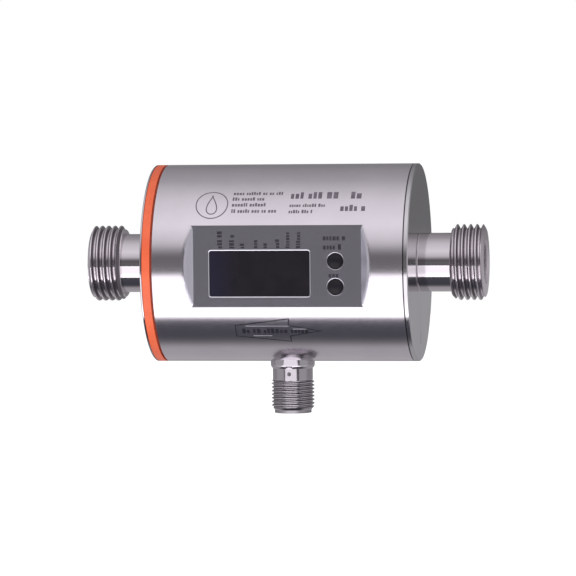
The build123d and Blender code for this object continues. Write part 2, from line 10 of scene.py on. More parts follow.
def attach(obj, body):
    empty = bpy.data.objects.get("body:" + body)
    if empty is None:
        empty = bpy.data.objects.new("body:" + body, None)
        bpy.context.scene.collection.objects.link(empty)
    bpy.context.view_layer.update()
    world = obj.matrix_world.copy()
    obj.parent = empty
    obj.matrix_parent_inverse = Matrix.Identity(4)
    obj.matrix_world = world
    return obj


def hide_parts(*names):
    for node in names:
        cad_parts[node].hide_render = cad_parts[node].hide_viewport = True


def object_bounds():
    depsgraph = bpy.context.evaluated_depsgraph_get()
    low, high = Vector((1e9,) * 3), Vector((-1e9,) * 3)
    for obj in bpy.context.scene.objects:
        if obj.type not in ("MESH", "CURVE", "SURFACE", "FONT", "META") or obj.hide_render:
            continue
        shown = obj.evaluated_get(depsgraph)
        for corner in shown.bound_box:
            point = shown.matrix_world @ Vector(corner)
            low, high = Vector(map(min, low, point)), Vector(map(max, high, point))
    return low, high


mm = 0.001
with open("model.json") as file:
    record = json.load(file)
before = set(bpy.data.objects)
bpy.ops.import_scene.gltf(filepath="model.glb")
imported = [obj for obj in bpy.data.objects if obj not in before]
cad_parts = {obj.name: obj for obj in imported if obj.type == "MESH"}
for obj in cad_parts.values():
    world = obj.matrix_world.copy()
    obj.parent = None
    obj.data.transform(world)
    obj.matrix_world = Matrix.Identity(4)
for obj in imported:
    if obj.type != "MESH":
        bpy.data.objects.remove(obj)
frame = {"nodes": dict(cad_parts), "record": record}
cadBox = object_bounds()
print("frame loaded with", len(frame["nodes"]), "pieces")

# In mm, from the frame: X runs along the pipe to the outlet, the flat looks along -Y and the plug along -Z
pipeEnd = round(cadBox[1][0] / mm, 3)
bodyRadius = round(cadBox[1][2] / mm, 3)
plugEnd = round(-cadBox[0][2] / mm, 3)
plugPlace = 0.9  # the plug stands a little to the outlet's side of the middle


# Camera, as the photo was taken: a long lens from the front, a little to the outlet side and above

photoCamera = {
    "yaw": 9.173,
    "pitch": 2.289,
    "roll": -0.537,
    "distance": 1051.58 * mm,
    "lens": 236.94,
    "shift": (-0.00122, -0.04413),
}


def setCamera():
    yaw = math.radians(photoCamera["yaw"])
    pitch = math.radians(photoCamera["pitch"])
    roll = Quaternion((0, 0, 1), math.radians(photoCamera["roll"]))
    back = Vector((math.sin(yaw) * math.cos(pitch), -math.cos(yaw) * math.cos(pitch), math.sin(pitch)))
    data = bpy.data.cameras.new("photoCamera")
    data.lens = photoCamera["lens"]
    data.sensor_width = 36
    data.shift_x, data.shift_y = photoCamera["shift"]
    data.clip_end = 20
    camera = bpy.data.objects.new("photoCamera", data)
    bpy.context.scene.collection.objects.link(camera)
    camera.location = back * photoCamera["distance"]
    camera.rotation_mode = "QUATERNION"
    camera.rotation_quaternion = (-back).to_track_quat("-Z", "Y") @ roll
    bpy.context.scene.camera = camera
    bpy.context.scene.view_settings.view_transform = "Standard"


# Node helpers

def addNode(tree, kind, options=None, inputs=None):
    node = tree.nodes.new(kind)
    for name, value in (options or {}).items():
        setattr(node, name, value)
    for name, value in (inputs or {}).items():
        if isinstance(value, bpy.types.NodeSocket):
            tree.links.new(value, node.inputs[name])
        else:
            node.inputs[name].default_value = value
    return node


def math2(tree, operation, a, b=0.0):
    return addNode(tree, "ShaderNodeMath", {"operation": operation}, {0: a, 1: b}).outputs[0]


def remap(tree, value, fromLow, fromHigh, toLow, toHigh, smooth=False):
    kind = "SMOOTHSTEP" if smooth else "LINEAR"
    limits = {"Value": value, "From Min": fromLow, "From Max": fromHigh, "To Min": toLow, "To Max": toHigh}
    return addNode(tree, "ShaderNodeMapRange", {"interpolation_type": kind}, limits).outputs["Result"]


def mixColour(tree, share, a, b):
    return addNode(tree, "ShaderNodeMix", {"data_type": "RGBA"}, {0: share, 6: a, 7: b}).outputs[2]


def mixValue(tree, share, a, b):
    return addNode(tree, "ShaderNodeMix", {"data_type": "FLOAT"}, {0: share, 2: a, 3: b}).outputs[0]


def splitAxes(tree, vector):
    return addNode(tree, "ShaderNodeSeparateXYZ", None, {0: vector}).outputs


def fromAxis(tree, a, b):
    # How far a point lies from one axis, out of its places along the other two
    across = addNode(tree, "ShaderNodeCombineXYZ", None, {1: a, 2: b}).outputs[0]
    return addNode(tree, "ShaderNodeVectorMath", {"operation": "LENGTH"}, {0: across}).outputs["Value"]


def rgb(red, green, blue):
    return (red, green, blue, 1.0)


# Studio: a pale panel overhead, a dark gap at the camera's height, a white panel low in front

studio = {
    # degrees round the pipe's axis, 0 in front and 90 above, with the level of light that comes from there
    "stops": [
        (-180, 0.25), (-150, 0.48), (-115, 0.46), (-103, 0.16), (-95, 0.075), (-80, 0.08),
        (-30, 0.12), (0, 0.18), (10, 0.14), (14, 0.25), (18, 0.42), (24, 0.72), (31, 0.86),
        (46, 1.05), (80, 0.84), (104, 0.58), (112, 0.48), (156, 0.26),
    ],
    "tint": (0.995, 0.98, 1.02),
    # the darkest part below is a little bluer
    "darkBelow": 0.1,
    "darkTint": (0.97, 0.98, 1.22),
    # towards the ends of the pipe: levels in front and behind, how far forward one turns into the other,
    # and how far sideways that light begins and is full
    "sideLevels": (0.62, 0.44),
    "sideTurn": (-0.3, 0.1),
    "sideStart": 0.66,
    "sideEnd": 0.74,
    # light in the middle of the panel, then what its top and its foot add, with the heights
    # between which that fades, and the panel's corners
    "panelLight": 1.65,
    "panelEnds": ((0.5, -28, -36), (0.8, -74, -58)),
    "panelTop": (-150, -28),
    "panelFoot": (-52, -74),
    "panelSides": (-89, 72),
    # behind the outlet's end: place along Y, sides, half the height,
    # and the heights between which its light grows downward
    "cardAt": 110,
    "cardSides": (30, 120),
    "cardHeight": 75,
    "cardLevels": ((8, 0.19), (-9, 0.43)),
    "lampPower": 4.0,
    "lampPlace": (250, -900, 500),
    "lampSize": 700,
    "floorLevel": -150,
    "floorSize": 5000,
    "floorTones": (0.80, 0.84),
    "floorMottle": 3.0,
    "floorGlow": 0.6,
}


def seenDirectly(tree):
    # 1 where the camera looks straight at something, or through glass
    rays = addNode(tree, "ShaderNodeLightPath").outputs
    return math2(tree, "MAXIMUM", rays["Is Camera Ray"], rays["Is Transmission Ray"])


def buildWorld():
    world = bpy.data.worlds.new("studio")
    bpy.context.scene.world = world
    world.use_nodes = True
    tree = world.node_tree
    axes = splitAxes(tree, addNode(tree, "ShaderNodeTexCoord").outputs["Generated"])
    forward = math2(tree, "MULTIPLY", axes["Y"], -1.0)
    angle = math2(tree, "ARCTAN2", axes["Z"], forward)
    place = remap(tree, angle, -math.pi, math.pi, 0.0, 1.0)
    ramp = addNode(tree, "ShaderNodeValToRGB", None, {0: place})
    elements = ramp.color_ramp.elements
    while len(elements) < len(studio["stops"]):
        elements.new(0.5)
    for element, (degrees, level) in zip(elements, studio["stops"]):
        element.position = degrees / 360 + 0.5
        tint = studio["darkTint" if level < studio["darkBelow"] else "tint"]
        element.color = rgb(*(level * part for part in tint))
    sideways = math2(tree, "ABSOLUTE", axes["X"])
    sideShare = remap(tree, sideways, studio["sideStart"], studio["sideEnd"], 0.0, 1.0, True)
    front, behind = (rgb(*(level * part for part in studio["tint"])) for level in studio["sideLevels"])
    sideColour = mixColour(tree, remap(tree, forward, *studio["sideTurn"], 0.0, 1.0, True), behind, front)
    panels = mixColour(tree, sideShare, ramp.outputs["Color"], sideColour)
    shown = mixColour(tree, seenDirectly(tree), panels, rgb(1, 1, 1))
    tree.links.new(shown, tree.nodes["Background"].inputs["Color"])


def stageMaterial(name):
    material = bpy.data.materials.new(name)
    material.use_nodes = True
    tree = material.node_tree
    tree.nodes.clear()
    return material, tree, addNode(tree, "ShaderNodeTexCoord").outputs["Object"]


def stageMesh(name, bm, material):
    mesh = bpy.data.meshes.new(name)
    bm.to_mesh(mesh)
    bm.free()
    mesh.materials.append(material)
    piece = bpy.data.objects.new(name, mesh)
    bpy.context.scene.collection.objects.link(piece)
    return piece


def buildFloor():
    material, tree, position = stageMaterial("paleFloor")
    grain = {"Vector": position, "Scale": studio["floorMottle"], "Detail": 2.0}
    mottle = addNode(tree, "ShaderNodeTexNoise", None, grain).outputs["Fac"]
    tone = mixColour(tree, mottle, *(rgb(level, level, level) for level in studio["floorTones"]))
    plain = addNode(tree, "ShaderNodeBsdfDiffuse", None, {"Color": tone}).outputs[0]
    glow = addNode(tree, "ShaderNodeEmission", None, {"Strength": studio["floorGlow"]}).outputs[0]
    lit = addNode(tree, "ShaderNodeAddShader", None, {0: plain, 1: glow}).outputs[0]
    shown = addNode(tree, "ShaderNodeMixShader", None, {0: seenDirectly(tree), 1: plain, 2: lit}).outputs[0]
    addNode(tree, "ShaderNodeOutputMaterial", None, {"Surface": shown})
    bm = bmesh.new()
    bmesh.ops.create_grid(bm, x_segments=8, y_segments=8, size=studio["floorSize"] * mm / 2)
    bmesh.ops.translate(bm, vec=(0, 0, studio["floorLevel"] * mm), verts=bm.verts)
    floor = stageMesh("floor", bm, material)
    floor.visible_glossy = False


def glowingCard(name, corners, lightAt):
    # A card whose light changes with height: the steel mirrors it, and the camera doesn't see it
    material, tree, position = stageMaterial(name)
    light = lightAt(tree, splitAxes(tree, position)["Z"])
    shine = {"Color": rgb(*studio["tint"]), "Strength": light}
    glow = addNode(tree, "ShaderNodeEmission", None, shine).outputs[0]
    addNode(tree, "ShaderNodeOutputMaterial", None, {"Surface": glow})
    bm = bmesh.new()
    verts = [bm.verts.new(Vector(corner) * mm) for corner in corners]
    bmesh.ops.contextual_create(bm, geom=verts)
    card = stageMesh(name, bm, material)
    card.visible_camera = False


def panelLight(tree, height):
    light = studio["panelLight"]
    for extra, edge, inside in studio["panelEnds"]:
        light = math2(tree, "ADD", remap(tree, height, edge * mm, inside * mm, extra, 0.0, True), light)
    return light


def cardLight(tree, height):
    (high, dim), (low, bright) = studio["cardLevels"]
    return remap(tree, height, low * mm, high * mm, bright, dim, True)


def buildCards():
    ends = (studio["panelTop"], studio["panelFoot"])
    glowingCard("frontPanel", [(x, y, z) for x in studio["panelSides"] for y, z in ends], panelLight)
    half = studio["cardHeight"]
    corners = [(x, studio["cardAt"], z) for x in studio["cardSides"] for z in (-half, half)]
    glowingCard("backCard", corners, cardLight)


def addLamp():
    # Fills in the plastic and rubber, and leaves the reflections in the steel alone
    light = bpy.data.lights.new("softLamp", "AREA")
    light.energy = studio["lampPower"]
    light.size = studio["lampSize"] * mm
    lamp = bpy.data.objects.new("softLamp", light)
    bpy.context.scene.collection.objects.link(lamp)
    lamp.location = Vector(studio["lampPlace"]) * mm
    lamp.rotation_euler = lamp.location.to_track_quat("Z", "Y").to_euler()
    lamp.visible_glossy = False


# Surface effects that materials share, which put out masks and heights from 0 to 1

def newGroup(name, values, outputs):
    # values: what a material can set besides the position, with its usual value
    group = bpy.data.node_groups.new(name, "ShaderNodeTree")
    group.interface.new_socket("Position", in_out="INPUT", socket_type="NodeSocketVector")
    for label, value in values.items():
        kind = "NodeSocketVector" if isinstance(value, tuple) else "NodeSocketFloat"
        group.interface.new_socket(label, in_out="INPUT", socket_type=kind).default_value = value
    for label in outputs:
        group.interface.new_socket(label, in_out="OUTPUT", socket_type="NodeSocketFloat")
    return group, group.nodes.new("NodeGroupInput").outputs, group.nodes.new("NodeGroupOutput").inputs


def perMetre(tree, perMillimetre):
    return math2(tree, "MULTIPLY", perMillimetre, 1 / mm)


def turnedLinesGroup():
    # Fine rings left by a lathe whose axis is X: they run round a barrel and round a face
    group, start, end = newGroup("turnedLines", {"Lines per mm": 4.0}, ["Mask", "Height"])
    axes = splitAxes(group, start["Position"])
    along = math2(group, "ADD", axes["X"], fromAxis(group, axes["Y"], axes["Z"]))
    line = math2(group, "MULTIPLY", along, perMetre(group, start["Lines per mm"]))
    noise = addNode(group, "ShaderNodeTexNoise", {"noise_dimensions": "1D"}, {"W": line, "Detail": 3.0})
    level = noise.outputs["Fac"]
    group.links.new(remap(group, level, 0.3, 0.7, 0.0, 1.0), end["Mask"])
    group.links.new(level, end["Height"])
    return group


def fineGrainGroup():
    # Small even grain, such as moulded plastic, blasted metal or short brush strokes where it is stretched
    values = {"Grains per mm": 6.0, "Stretch": (1.0, 1.0, 1.0)}
    group, start, end = newGroup("fineGrain", values, ["Mask", "Height"])
    stretched = {0: start["Position"], 1: start["Stretch"]}
    place = addNode(group, "ShaderNodeVectorMath", {"operation": "MULTIPLY"}, stretched).outputs[0]
    grain = {"Vector": place, "Scale": perMetre(group, start["Grains per mm"]), "Detail": 3.0}
    level = addNode(group, "ShaderNodeTexNoise", None, grain).outputs["Fac"]
    group.links.new(remap(group, level, 0.3, 0.7, 0.0, 1.0), end["Mask"])
    group.links.new(level, end["Height"])
    return group


def softPatchesGroup():
    # Broad faint clouds from handling and polishing
    group, start, end = newGroup("softPatches", {"Patch size mm": 12.0}, ["Mask"])
    scale = math2(group, "DIVIDE", 1 / mm, start["Patch size mm"])
    clouds = {"Vector": start["Position"], "Scale": scale, "Detail": 4.0, "Roughness": 0.6}
    level = addNode(group, "ShaderNodeTexNoise", None, clouds).outputs["Fac"]
    group.links.new(remap(group, level, 0.3, 0.7, 0.0, 1.0, True), end["Mask"])
    return group


def jointLineGroup():
    # Dark line where one piece meets the next along the pipe
    group, start, end = newGroup("jointLine", {"Place mm": 0.0, "Half width mm": 0.2}, ["Mask"])
    along = math2(group, "DIVIDE", splitAxes(group, start["Position"])["X"], mm)
    distance = math2(group, "ABSOLUTE", math2(group, "SUBTRACT", along, start["Place mm"]))
    group.links.new(remap(group, distance, 0.0, start["Half width mm"], 1.0, 0.0, True), end["Mask"])
    return group


def windingsGroup():
    # Turns of wire wound about the upright axis, side by side
    group, start, end = newGroup("windings", {"Wires per mm": 4.0}, ["Mask", "Height"])
    axes = splitAxes(group, start["Position"])
    place = math2(group, "ADD", axes["Z"], fromAxis(group, axes["X"], axes["Y"]))
    turns = math2(group, "MULTIPLY", place, math2(group, "MULTIPLY", start["Wires per mm"], math.pi / mm))
    level = math2(group, "ABSOLUTE", math2(group, "SINE", turns))
    group.links.new(remap(group, level, 0.0, 0.5, 1.0, 0.0, True), end["Mask"])
    group.links.new(level, end["Height"])
    return group


def boardTracksGroup():
    # Fine straight tracks, running one way in some fields of the board and the other way in the rest
    values = {"Tracks per mm": 1.4, "Track share": 0.32, "Fields per mm": 0.22, "Bare share": 0.35}
    group, start, end = newGroup("boardTracks", values, ["Mask"])
    axes = splitAxes(group, start["Position"])
    lines = []
    for along in ("X", "Z"):
        place = math2(group, "MULTIPLY", axes[along], perMetre(group, start["Tracks per mm"]))
        lines.append(math2(group, "LESS_THAN", math2(group, "FRACT", place), start["Track share"]))
    scale = perMetre(group, start["Fields per mm"])
    cells = {"Vector": start["Position"], "Scale": scale, "Randomness": 0.7}
    fields = addNode(group, "ShaderNodeTexVoronoi", {"distance": "CHEBYCHEV"}, cells).outputs["Color"]
    choice = addNode(group, "ShaderNodeSeparateColor", None, {0: fields}).outputs
    line = mixValue(group, math2(group, "GREATER_THAN", choice["Red"], 0.5), *lines)
    kept = math2(group, "GREATER_THAN", choice["Green"], start["Bare share"])
    group.links.new(math2(group, "MULTIPLY", line, kept), end["Mask"])
    return group


turnedLines = turnedLinesGroup()
fineGrain = fineGrainGroup()
softPatches = softPatchesGroup()
jointLine = jointLineGroup()
windings = windingsGroup()
boardTracks = boardTracksGroup()
print("shared surface effects built")


def useGroup(tree, group, position, values):
    return addNode(tree, "ShaderNodeGroup", {"node_tree": group}, {"Position": position} | values).outputs


def newMaterial(name):
    material = bpy.data.materials.new(name)
    material.use_nodes = True
    tree = material.node_tree
    position = addNode(tree, "ShaderNodeTexCoord").outputs["Object"]
    return material, tree, tree.nodes["Principled BSDF"], position


def cloudedColour(tree, position, look, dark, light):
    patches = useGroup(tree, softPatches, position, {"Patch size mm": look["patch"]})
    return mixColour(tree, patches["Mask"], rgb(*look[dark]), rgb(*look[light]))


def markJoints(tree, colour, position, look):
    # look: the joints as place along the pipe and half the width of the line, and the line's colour
    for place, half in look.get("joints", ()):
        line = useGroup(tree, jointLine, position, {"Place mm": place, "Half width mm": half})
        colour = mixColour(tree, line["Mask"], colour, rgb(*look["jointColour"]))
    return colour


def setSurface(tree, shader, colour, roughness, height=None, depth=0.0):
    tree.links.new(colour, shader.inputs["Base Color"])
    tree.links.new(roughness, shader.inputs["Roughness"])
    if height is not None:
        bump = addNode(tree, "ShaderNodeBump", None, {"Height": height, "Distance": depth * mm})
        tree.links.new(bump.outputs["Normal"], shader.inputs["Normal"])


# Housing sheet: satin steel, with its own finish on the pressed-in flat

capJoint = {
    # where the outlet end cap meets the sheet
    "joints": [(35.42, 0.30)],
    "jointColour": (0.045, 0.036, 0.048),
}
housingLook = capJoint | {
    "bright": (0.72, 0.675, 0.72),
    "dull": (0.66, 0.62, 0.665),
    # how much of the bright colour shows in the darkest and the lightest cloud
    "brightShare": (0.2, 0.8),
    "patch": 14.0,
    "roughness": (0.18, 0.20),
    "lines": 3.0,
    "grains": 9.0,
    "stretch": (0.25, 1.0, 1.0),
    "depth": 0.00012,
    # the flat and its slopes lie within this radius and are a little bluer
    "pressedWithin": 27.2,
    "pressed": (0.60, 0.60, 0.68),
    "pressedShare": 0.6,
    # at the lower and the upper edge of the flat, and how much the grain changes it
    "flatEdges": (-11, 9),
    "flatRoughness": (0.125, 0.205),
    "grainShare": (0.96, 1.04),
    # the slopes at the flat's ends, between their bends, as places along Y
    "slopes": (-26.75, -25.15),
    "slopeRoughness": 0.36,
    # the rolled-in rims of the window and the key holes lie behind the flat and are polished; their colour,
    # far brighter than the steel, is a painted highlight
    "rimBehind": -24.89,
    "rimWithin": 21,
    "rim": (0.96, 0.95, 1.0),
    "rimRoughness": 0.12,
}


def housingSteel():
    look = housingLook
    material, tree, shader, position = newMaterial("housingSteel")
    lines = useGroup(tree, turnedLines, position, {"Lines per mm": look["lines"]})
    brushed = {"Grains per mm": look["grains"], "Stretch": look["stretch"]}
    grain = useGroup(tree, fineGrain, position, brushed)
    patches = useGroup(tree, softPatches, position, {"Patch size mm": look["patch"]})
    axes = splitAxes(tree, position)

    # Masks: all that is pressed in, the rims in it, and its slopes
    radius = fromAxis(tree, axes["Y"], axes["Z"])
    flat = math2(tree, "LESS_THAN", radius, look["pressedWithin"] * mm)
    behind = math2(tree, "GREATER_THAN", axes["Y"], look["rimBehind"] * mm)
    within = math2(tree, "LESS_THAN", math2(tree, "ABSOLUTE", axes["X"]), look["rimWithin"] * mm)
    rim = math2(tree, "MULTIPLY", flat, math2(tree, "MULTIPLY", behind, within))
    outer, inner = look["slopes"]
    pastOuter = math2(tree, "GREATER_THAN", axes["Y"], outer * mm)
    beforeInner = math2(tree, "LESS_THAN", axes["Y"], inner * mm)
    slope = math2(tree, "MULTIPLY", flat, math2(tree, "MULTIPLY", pastOuter, beforeInner))

    share = remap(tree, patches["Mask"], 0.0, 1.0, *look["brightShare"])
    colour = mixColour(tree, share, rgb(*look["dull"]), rgb(*look["bright"]))
    bluer = math2(tree, "MULTIPLY", flat, look["pressedShare"])
    colour = mixColour(tree, bluer, colour, rgb(*look["pressed"]))
    # painted highlight: the rims take a colour far brighter than the steel
    colour = mixColour(tree, rim, colour, rgb(*look["rim"]))
    colour = markJoints(tree, colour, position, look)

    barrel = remap(tree, lines["Mask"], 0.0, 1.0, *look["roughness"])
    low, high = look["flatEdges"]
    pressed = remap(tree, axes["Z"], low * mm, high * mm, *look["flatRoughness"])
    pressed = math2(tree, "MULTIPLY", pressed, remap(tree, grain["Mask"], 0.0, 1.0, *look["grainShare"]))
    rough = mixValue(tree, flat, barrel, pressed)
    rough = mixValue(tree, rim, rough, look["rimRoughness"])
    rough = mixValue(tree, slope, rough, look["slopeRoughness"])
    setSurface(tree, shader, colour, rough, grain["Height"], look["depth"])
    shader.inputs["Metallic"].default_value = 1.0
    return material


bandEdge = 0.08  # mm over which a band's finish fades in


def finishBands(tree, place, colour, rough, look):
    # Parts of a turned piece with a finish of their own: inner and outer radius, where the band begins
    # and ends along the axis, its share of the dull colour, and its roughness
    axes = splitAxes(tree, place)
    radius = fromAxis(tree, axes["Y"], axes["Z"])
    along = math2(tree, "ABSOLUTE", axes["X"])
    for inner, outer, start, finish, share, dullness in look["bands"]:
        rising = remap(tree, radius, inner * mm, (inner + bandEdge) * mm, 0.0, 1.0, True)
        falling = remap(tree, radius, (outer - bandEdge) * mm, outer * mm, 1.0, 0.0, True)
        past = math2(tree, "GREATER_THAN", along, start * mm)
        before = math2(tree, "LESS_THAN", along, finish * mm)
        band = math2(tree, "MULTIPLY", rising, falling)
        band = math2(tree, "MULTIPLY", band, math2(tree, "MULTIPLY", past, before))
        colour = mixColour(tree, band, colour, rgb(*(part * share for part in look["dull"])))
        rough = mixValue(tree, band, rough, dullness)
    return colour, rough


def steel(name, look):
    # look: bright and dull colours, roughness range, lines per mm and their depth, size of the clouds,
    # the turning axis if it isn't the pipe, bands, joints, and the sheen left at a glancing angle
    material, tree, shader, position = newMaterial(name)
    turned = position
    if "axisAt" in look:
        x, y = look["axisAt"]
        moved = {"Vector": position, "Location": (0, -y * mm, x * mm), "Rotation": (0, math.pi / 2, 0)}
        turned = addNode(tree, "ShaderNodeMapping", None, moved).outputs[0]
    lines = useGroup(tree, turnedLines, turned, {"Lines per mm": look["lines"]})
    colour = cloudedColour(tree, position, look, "dull", "bright")
    colour = markJoints(tree, colour, position, look)
    rough = remap(tree, lines["Mask"], 0.0, 1.0, *look["roughness"])
    if "bands" in look:
        colour, rough = finishBands(tree, turned, colour, rough, look)
    setSurface(tree, shader, colour, rough, lines["Height"], look["depth"])
    shader.inputs["Metallic"].default_value = 1.0
    tint = look.get("grazing", 1.0)
    shader.inputs["Specular Tint"].default_value = rgb(tint, tint, tint)
    return material


fittingLook = {
    "bright": (0.80, 0.745, 0.785),
    "dull": (0.74, 0.685, 0.725),
    "bands": [
        (8.0, 9.2, 30.0, 46.5, 0.83, 0.08),  # neck
        (9.42, 10.34, 45.0, pipeEnd - 0.7, 0.42, 0.36),  # flanks of the thread, darkened as painted shade between the crests
        (9.2, 10.6, pipeEnd - 0.7, pipeEnd - 0.1, 0.92, 0.30),  # bevel at its end
        (6.0, 9.6, pipeEnd - 0.1, pipeEnd + 1, 1.05, 0.26),  # end face
        (-1.0, 6.1, 0.0, pipeEnd - 0.1, 0.98, 0.60),  # bore
    ],
    "roughness": (0.05, 0.10),
    "lines": 6.0,
    "patch": 8.0,
    "depth": 0.0004,
}
discLook = capJoint | {
    "bright": (0.62, 0.60, 0.62),
    "dull": (0.58, 0.56, 0.58),
    "bands": [(18.9, 22.8, 36.4, 36.73, 0.05, 0.70)],  # the small notch in the outlet end cap, painted near black as shade inside it
    "roughness": (0.12, 0.20),
    "lines": 5.0,
    "patch": 14.0,
    "depth": 0.0006,
    "grazing": 0.86,
}
plugLook = {
    "bright": (0.72, 0.67, 0.72),
    "dull": (0.66, 0.615, 0.66),
    "bands": [
        (5.9, 6.3, 24.0, 28.2, 0.70, 0.12),  # collar
        (5.4, 6.3, 28.2, 29.3, 0.85, 0.16),  # its rounded slope
        (5.4, 5.7, 29.3, 32.3, 0.66, 0.11),  # neck
        (5.0, 5.48, 29.3, 32.3, 0.30, 0.30),  # punch mark in the neck: rougher, and darkened as painted shade in the dimple
        (5.2, 5.93, 32.4, 40.7, 0.54, 0.12),  # flanks of the thread, darkened as painted shade between the crests
        (4.9, 5.3, 40.75, 42.0, 0.56, 0.34),  # nose
    ],
    "roughness": (0.07, 0.12),
    "lines": 8.0,
    "patch": 5.0,
    "depth": 0.0006,
    "axisAt": (plugPlace, 0.0),
}
smallSteelLook = {
    "bright": (0.66, 0.65, 0.66),
    "dull": (0.55, 0.54, 0.55),
    "roughness": (0.18, 0.30),
    "lines": 9.0,
    "patch": 4.0,
    "depth": 0.0006,
}


def moulded(name, look):
    # look: pale and deep colours, roughness range, grains per mm and their depth, size of the clouds,
    # joints and sheen
    material, tree, shader, position = newMaterial(name)
    grain = useGroup(tree, fineGrain, position, {"Grains per mm": look["grains"]})
    colour = cloudedColour(tree, position, look, "deep", "pale")
    colour = markJoints(tree, colour, position, look)
    rough = remap(tree, grain["Mask"], 0.0, 1.0, *look["roughness"])
    setSurface(tree, shader, colour, rough, grain["Height"], look["depth"])
    shader.inputs["Specular IOR Level"].default_value = look.get("sheen", 0.5)
    return material


ringLook = {
    "pale": (0.84, 0.150, 0.055),
    "deep": (0.74, 0.115, 0.042),
    "roughness": (0.34, 0.46),
    "grains": 5.0,
    "patch": 9.0,
    "depth": 0.002,
    # where the ring meets the inlet end disc and the sheet; the wider line by the sheet is painted shade in
    # the ring's step
    "joints": [(-36.3, 0.28), (-33.62, 0.55)],
    "jointColour": (0.20, 0.022, 0.018),
}
keyLook = {
    "pale": (0.008, 0.007, 0.010),
    "deep": (0.005, 0.005, 0.007),
    "roughness": (0.40, 0.50),
    "grains": 8.0,
    "patch": 3.0,
    "depth": 0.001,
    "sheen": 0.25,
}
lensLook = {
    "pale": (0.014, 0.012, 0.016),
    "deep": (0.010, 0.009, 0.012),
    "patch": 6.0,
    # bluer towards the left edge, fading between these places along X
    "blue": (0.015, 0.013, 0.027),
    "blueFades": (-18, -9),
    "roughness": (0.04, 0.08),
    "refraction": 1.5,
}


def lensGlass():
    look = lensLook
    material, tree, shader, position = newMaterial("lensGlass")
    patches = useGroup(tree, softPatches, position, {"Patch size mm": look["patch"]})
    full, none = look["blueFades"]
    blue = remap(tree, splitAxes(tree, position)["X"], full * mm, none * mm, 1.0, 0.0, True)
    colour = mixColour(tree, patches["Mask"], rgb(*look["deep"]), rgb(*look["pale"]))
    colour = mixColour(tree, blue, colour, rgb(*look["blue"]))
    setSurface(tree, shader, colour, remap(tree, patches["Mask"], 0.0, 1.0, *look["roughness"]))
    shader.inputs["IOR"].default_value = look["refraction"]
    return material


# Inner pieces

innerLooks = {
    "tube_plastic": {
        "pale": (0.50, 0.38, 0.24), "deep": (0.42, 0.31, 0.19), "roughness": (0.35, 0.5),
        "grains": 4.0, "patch": 8.0, "depth": 0.003,
    },
    "black_rubber": {
        "pale": (0.03, 0.03, 0.03), "deep": (0.018, 0.018, 0.018), "roughness": (0.55, 0.75),
        "grains": 8.0, "patch": 3.0, "depth": 0.004,
    },
    "wire_cover": {
        "pale": (0.78, 0.77, 0.74), "deep": (0.66, 0.65, 0.62), "roughness": (0.35, 0.5),
        "grains": 5.0, "patch": 6.0, "depth": 0.002,
    },
    "carrier_plastic": {
        "pale": (0.055, 0.055, 0.06), "deep": (0.035, 0.035, 0.04), "roughness": (0.45, 0.6),
        "grains": 6.0, "patch": 10.0, "depth": 0.006,
    },
    "component_black": {
        "pale": (0.03, 0.03, 0.034), "deep": (0.018, 0.018, 0.021), "roughness": (0.4, 0.6),
        "grains": 9.0, "patch": 4.0, "depth": 0.004,
    },
    "lamp_lens": {
        "pale": (0.75, 0.78, 0.70), "deep": (0.62, 0.66, 0.58), "roughness": (0.15, 0.3),
        "grains": 6.0, "patch": 1.0, "depth": 0.002,
    },
    "insert_plastic": {
        "pale": (0.022, 0.022, 0.023), "deep": (0.014, 0.014, 0.015), "roughness": (0.35, 0.5),
        "grains": 7.0, "patch": 3.0, "depth": 0.003,
    },
    "flex_strip": {
        "pale": (0.42, 0.20, 0.035), "deep": (0.30, 0.13, 0.02), "roughness": (0.2, 0.35),
        "grains": 3.0, "patch": 3.0, "depth": 0.002,
    },
}
innerMetals = {
    "magnet_steel": {
        "bright": (0.42, 0.42, 0.43), "dull": (0.33, 0.33, 0.34), "roughness": (0.34, 0.48),
        "lines": 3.0, "patch": 9.0, "depth": 0.002,
    },
    "gold_plate": {
        "bright": (0.95, 0.70, 0.32), "dull": (0.88, 0.61, 0.25), "roughness": (0.14, 0.24),
        "lines": 9.0, "patch": 2.0, "depth": 0.0006,
    },
    "electrode_metal": {
        "bright": (0.70, 0.68, 0.65), "dull": (0.62, 0.60, 0.58), "roughness": (0.12, 0.22),
        "lines": 9.0, "patch": 2.0, "depth": 0.0006,
    },
}
copperLook = {
    "bright": (0.86, 0.40, 0.20),
    "dull": (0.70, 0.29, 0.13),
    # dark colour in the gaps between the wires: painted shade
    "paintedGapShade": (0.16, 0.055, 0.025),
    "roughness": (0.22, 0.34),
    "metal": 0.85,
    "wires": 3.5,
    "patch": 5.0,
    "depth": 0.05,
}
boardLook = {
    "pale": (0.022, 0.115, 0.050),
    "deep": (0.014, 0.085, 0.036),
    "track": (0.050, 0.200, 0.085),
    "roughness": (0.28, 0.42),
    "tracks": 1.4,
    "grains": 5.0,
    "patch": 6.0,
    "depth": 0.010,
}


def enamelledCopper():
    look = copperLook
    material, tree, shader, position = newMaterial("enamelledCopper")
    turns = useGroup(tree, windings, position, {"Wires per mm": look["wires"]})
    patches = useGroup(tree, softPatches, position, {"Patch size mm": look["patch"]})
    colour = mixColour(tree, patches["Mask"], rgb(*look["dull"]), rgb(*look["bright"]))
    # painted shade: the gaps between the wires take a dark colour
    colour = mixColour(tree, turns["Mask"], colour, rgb(*look["paintedGapShade"]))
    rough = remap(tree, patches["Mask"], 0.0, 1.0, *look["roughness"])
    setSurface(tree, shader, colour, rough, turns["Height"], look["depth"])
    shader.inputs["Metallic"].default_value = look["metal"]
    return material


